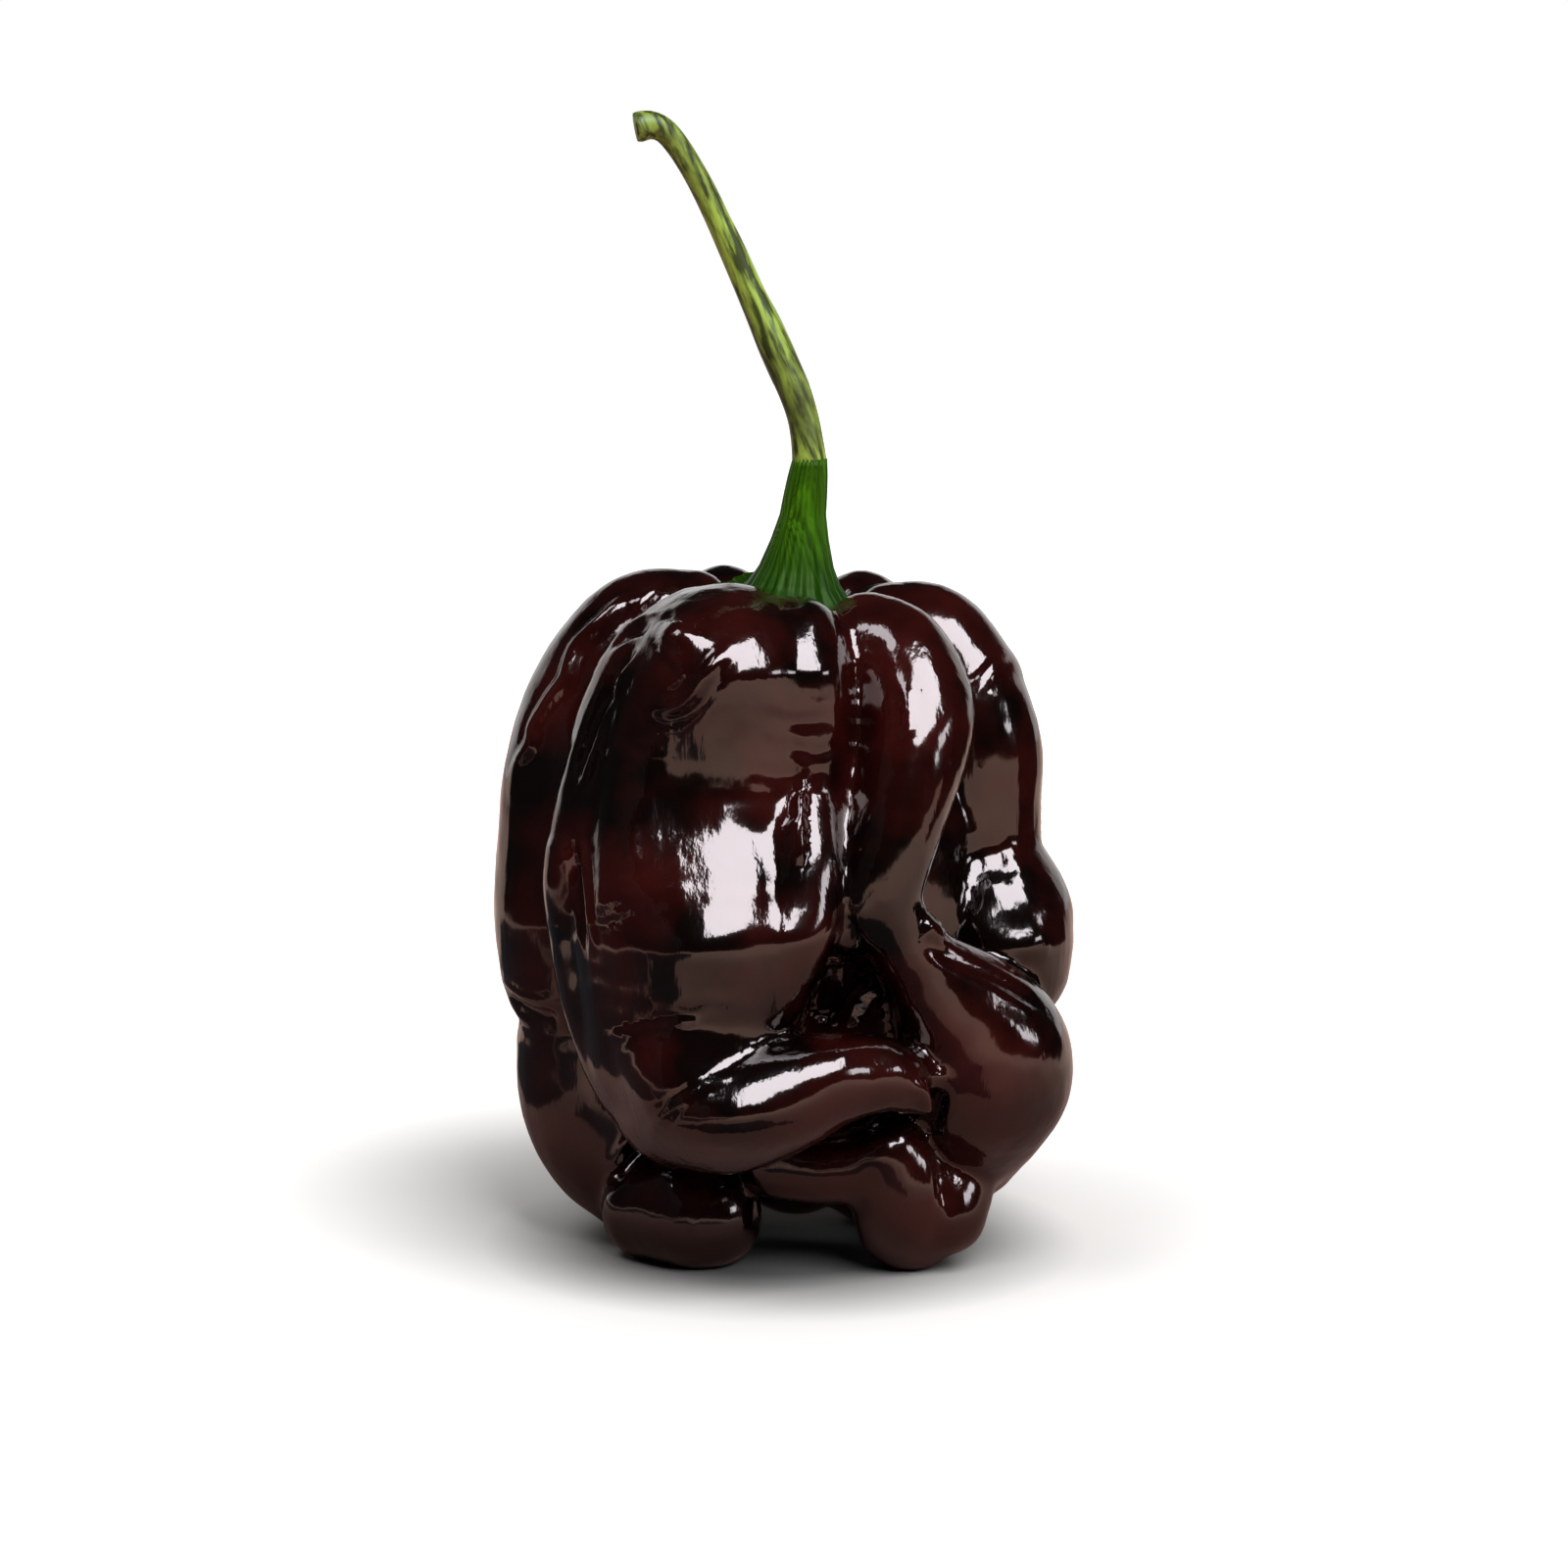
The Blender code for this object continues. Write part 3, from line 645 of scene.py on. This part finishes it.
CALYX_PROFILE = [(0, 54.2), (1.16, 54.2), (1.24, 53.7), (1.34, 53), (1.44, 52), (1.56, 50.4), (1.95, 48.7),
                 (2.5, 46.9), (3.1, 45.7), (3.8, 45), (4.5, 44.9), (4.6, 44.6), (4.1, 44.3), (3.1, 44),
                 (1.8, 43.8), (0, 43.7)]
CALYX_TEETH = 5
CALYX_SEGMENTS = 200
CALYX_SEAT_Z = 43.6
CALYX_MIDDLE_X = 0.5
CALYX_LEAN = 0.125
TOOTH_LENGTH = 1.3
TOOTH_TURN = 0.54
TOOTH_SHARPNESS = 4
RIM_SHARPNESS = 8
RIB_DEPTH = 0.022
RIB_COUNT = 23
RIB_WANDER = 1.5
# How far the rim rises, in millimetres: at the back, at the left, and in a wave of three round it.
RIM_BACK = 0.6
RIM_LEFT = 1.0
RIM_WAVE = 0.3

bm = bmesh.new()
rim = [bm.verts.new((radius * MM, 0, height * MM)) for radius, height in CALYX_PROFILE]
edges = [bm.edges.new(pair) for pair in zip(rim, rim[1:])]
flank_edges = edges[2:10]
bmesh.ops.subdivide_edges(bm, edges=flank_edges, cuts=3)
bmesh.ops.spin(bm, geom=bm.verts[:] + bm.edges[:], cent=(0, 0, 0), axis=(0, 0, 1), angle=2 * math.pi,
               steps=CALYX_SEGMENTS, use_merge=True)
bmesh.ops.remove_doubles(bm, verts=bm.verts, dist=0.001 * MM)
bmesh.ops.recalc_face_normals(bm, faces=bm.faces)
rim_radius = max(radius for radius, height in CALYX_PROFILE)
for vert in bm.verts:
    radius = math.hypot(vert.co.x, vert.co.y) / MM
    if radius > 0.01:
        angle = math.atan2(vert.co.y, vert.co.x)
        spread = min(1, radius / rim_radius)
        rib = RIB_DEPTH * math.cos(RIB_COUNT * angle + RIB_WANDER * math.sin(3 * angle))
        tooth_share = max(0, math.cos(CALYX_TEETH * (angle - TOOTH_TURN))) ** TOOTH_SHARPNESS
        tooth = TOOTH_LENGTH * tooth_share * spread ** RIM_SHARPNESS
        scale = (radius * (1 + rib) + tooth) / radius
        vert.co.x *= scale
        vert.co.y *= scale
        tilt = RIM_BACK * math.sin(angle) - RIM_LEFT * math.cos(angle) + RIM_WAVE * math.cos(3 * angle)
        vert.co.z += tilt * spread ** 4 * MM
    vert.co.x += (CALYX_MIDDLE_X + CALYX_LEAN * (vert.co.z / MM - CALYX_SEAT_Z)) * MM
bmesh.ops.translate(bm, verts=bm.verts, vec=-FOOTPRINT_MIDDLE * MM)

# Dark green with paler fibres along it, deeper towards the rim.
CALYX_GREEN = (0.02, 0.08, 0.004)
CALYX_DARK = (0.005, 0.016, 0.0003)
CALYX_FIBRE = (0.048, 0.13, 0.003)
CALYX_RIM = (0.005, 0.022, 0.0005)
CALYX_SHEEN = 0.1
CALYX_SHEEN_TINT = (0.75, 1, 0.35, 1)
RIM_TONE_START = 50.0 * MM
RIM_TONE_END = 45.2 * MM
calyx_green, calyx_tree, calyx_shader = make_shader("calyx_green", CALYX_GREEN, 0.38)
calyx_shader.inputs["Specular IOR Level"].default_value = CALYX_SHEEN
calyx_shader.inputs["Specular Tint"].default_value = CALYX_SHEEN_TINT
calyx_nodes = calyx_tree.nodes
calyx_links = calyx_tree.links
calyx_place = calyx_nodes.new("ShaderNodeTexCoord")
calyx_centre = calyx_nodes.new("ShaderNodeMapping")
calyx_centre.inputs["Location"].default_value = (-1.0 * MM, 0, 0)
calyx_centre.inputs["Rotation"].default_value = (0, 0, math.radians(90))
calyx_round = calyx_nodes.new("ShaderNodeTexGradient")
calyx_round.gradient_type = "RADIAL"
calyx_parts = calyx_nodes.new("ShaderNodeSeparateXYZ")
calyx_wrap = calyx_nodes.new("ShaderNodeCombineXYZ")
calyx_fibre = add_noise(calyx_nodes, 42, 3)
calyx_fibre.inputs["Roughness"].default_value = 0.65
calyx_fibre_colours = two_tones(calyx_nodes, 0.36, CALYX_DARK, 0.68, CALYX_FIBRE)
calyx_rim = map_range(calyx_nodes, RIM_TONE_START, RIM_TONE_END)
calyx_rim_mix = mix_colours(calyx_nodes, second=CALYX_RIM)
calyx_links.new(calyx_place.outputs["Object"], calyx_centre.inputs["Vector"])
calyx_links.new(calyx_centre.outputs["Vector"], calyx_round.inputs["Vector"])
calyx_links.new(calyx_place.outputs["Object"], calyx_parts.inputs[0])
calyx_links.new(calyx_round.outputs["Fac"], calyx_wrap.inputs["X"])
calyx_links.new(calyx_parts.outputs["Z"], calyx_wrap.inputs["Y"])
calyx_links.new(calyx_wrap.outputs[0], calyx_fibre.inputs["Vector"])
calyx_links.new(calyx_fibre.outputs["Fac"], calyx_fibre_colours.inputs[0])
calyx_links.new(calyx_parts.outputs["Z"], calyx_rim.inputs["Value"])
calyx_links.new(calyx_rim.outputs["Result"], calyx_rim_mix.inputs["Factor"])
calyx_links.new(calyx_fibre_colours.outputs["Color"], calyx_rim_mix.inputs["A"])
calyx_links.new(calyx_rim_mix.outputs["Result"], calyx_shader.inputs["Base Color"])
calyx = show(bm, "calyx_collar", calyx_green)
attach(calyx, "root")
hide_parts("calyx")


# ---- Stalk ---------------------------------------------------------------------------------------
# The pedicel: a fibrous green tube, bent over at the top, browner towards its cut and flared end.

STALK = [(1.7, 0, 52.4, 1.1), (1.8, 0, 53.8, 1.17), (1.64, 0, 55.4, 1.09), (1.35, 0.1, 57, 1.06),
         (0.8, 0.1, 58.7, 1.1), (0.1, 0.2, 60.3, 1.13), (-0.6, 0.2, 61.9, 1.13), (-1.3, 0.3, 63.5, 1.06),
         (-2.1, 0.3, 65.2, 0.95), (-2.8, 0.3, 66.8, 0.92), (-3.55, 0.2, 68.5, 0.89), (-4.3, 0.1, 70.1, 0.83),
         (-5.1, 0, 71.8, 0.82), (-5.95, -0.2, 73.4, 0.8), (-6.95, -0.4, 75, 0.81), (-7.9, -0.6, 76.1, 0.85),
         (-8.8, -0.8, 76.45, 0.95), (-9.5, -1, 76.35, 1.02), (-9.8, -1.05, 76.3, 0.94)]
STALK_SIDES = 48
RING_SPACING = 0.3

stalk_path = along(STALK, RING_SPACING)
stalk_centres = [(station.xyz - FOOTPRINT_MIDDLE) * MM for station in stalk_path]


def stalk_place(i):
    """Where ring i of the stalk stands: turned square to the stalk, scaled to its radius."""
    ahead = stalk_centres[min(i + 1, len(stalk_centres) - 1)] - stalk_centres[max(i - 1, 0)]
    square = Vector((0, 0, 1)).rotation_difference(ahead).to_matrix().to_4x4()
    return Matrix.Translation(stalk_centres[i]) @ square @ Matrix.Scale(stalk_path[i].w, 4)


bm = bmesh.new()
bmesh.ops.create_circle(bm, cap_ends=True, segments=STALK_SIDES, radius=MM, matrix=stalk_place(0))
face = bm.faces[:][0]
for i in range(1, len(stalk_path)):
    face = bmesh.ops.extrude_discrete_faces(bm, faces=[face])["faces"][0]
    step = stalk_place(i) @ stalk_place(i - 1).inverted()
    bmesh.ops.transform(bm, matrix=step, verts=face.verts)
bmesh.ops.recalc_face_normals(bm, faces=bm.faces)

# Olive green fibres, mottled brown low on the stalk and again towards its cut end.
STALK_GREEN = (0.05, 0.065, 0.008)
STALK_DARK = (0.03, 0.036, 0.002)
STALK_FIBRE = (0.27, 0.34, 0.04)
STALK_BROWN = (0.03, 0.028, 0.006)
STALK_SHEEN = 0.3
FIBRE_LEAN = math.radians(22)
FIBRE_STRETCH = (1, 1, 0.16)
# Brown over the height: (height in millimetres, share), between these two heights.
BROWN_START = 50
BROWN_END = 80
BROWN_SHARES = [(54.5, 0.3), (56.0, 1.3), (59.5, 1.1), (62.5, 0.4), (65.5, 0.05), (69.5, 0.05), (73.5, 0.7)]
BROWN_TOP_SHARE = 0.8
stalk_green, stalk_tree, stalk_shader = make_shader("stem_green", STALK_GREEN, 0.45)
stalk_shader.inputs["Specular IOR Level"].default_value = STALK_SHEEN
stalk_nodes = stalk_tree.nodes
stalk_links = stalk_tree.links
stalk_coord = stalk_nodes.new("ShaderNodeTexCoord")
stalk_upright = stalk_nodes.new("ShaderNodeMapping")
stalk_upright.inputs["Rotation"].default_value = (0, FIBRE_LEAN, 0)
stalk_stretch = stalk_nodes.new("ShaderNodeMapping")
stalk_stretch.inputs["Scale"].default_value = FIBRE_STRETCH
stalk_fibre = add_noise(stalk_nodes, 2400, 4)
stalk_fibre_colours = two_tones(stalk_nodes, 0.4, STALK_DARK, 0.6, STALK_FIBRE)
stalk_blotch = add_noise(stalk_nodes, 700)
stalk_parts = stalk_nodes.new("ShaderNodeSeparateXYZ")
stalk_brown = two_tones(stalk_nodes, 0, (0, 0, 0), 1, [BROWN_TOP_SHARE] * 3)
for height, amount in BROWN_SHARES:
    element = stalk_brown.color_ramp.elements.new((height - BROWN_START) / (BROWN_END - BROWN_START))
    element.color = (amount, amount, amount, 1)
stalk_height = map_range(stalk_nodes, BROWN_START * MM, BROWN_END * MM)
stalk_share = stalk_nodes.new("ShaderNodeMath")
stalk_share.operation = "MULTIPLY"
stalk_mix = mix_colours(stalk_nodes, second=STALK_BROWN)
stalk_links.new(stalk_coord.outputs["Object"], stalk_upright.inputs["Vector"])
stalk_links.new(stalk_upright.outputs["Vector"], stalk_stretch.inputs["Vector"])
stalk_links.new(stalk_stretch.outputs["Vector"], stalk_fibre.inputs["Vector"])
stalk_links.new(stalk_fibre.outputs["Fac"], stalk_fibre_colours.inputs[0])
stalk_links.new(stalk_coord.outputs["Object"], stalk_blotch.inputs["Vector"])
stalk_links.new(stalk_coord.outputs["Object"], stalk_parts.inputs[0])
stalk_links.new(stalk_parts.outputs["Z"], stalk_height.inputs["Value"])
stalk_links.new(stalk_height.outputs["Result"], stalk_brown.inputs[0])
stalk_links.new(stalk_brown.outputs["Color"], stalk_share.inputs[0])
stalk_links.new(stalk_blotch.outputs["Fac"], stalk_share.inputs[1])
stalk_links.new(stalk_share.outputs[0], stalk_mix.inputs["Factor"])
stalk_links.new(stalk_fibre_colours.outputs["Color"], stalk_mix.inputs["A"])
stalk_links.new(stalk_mix.outputs["Result"], stalk_shader.inputs["Base Color"])
stalk = show(bm, "stalk", stalk_green)
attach(stalk, "root")
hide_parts("stem")
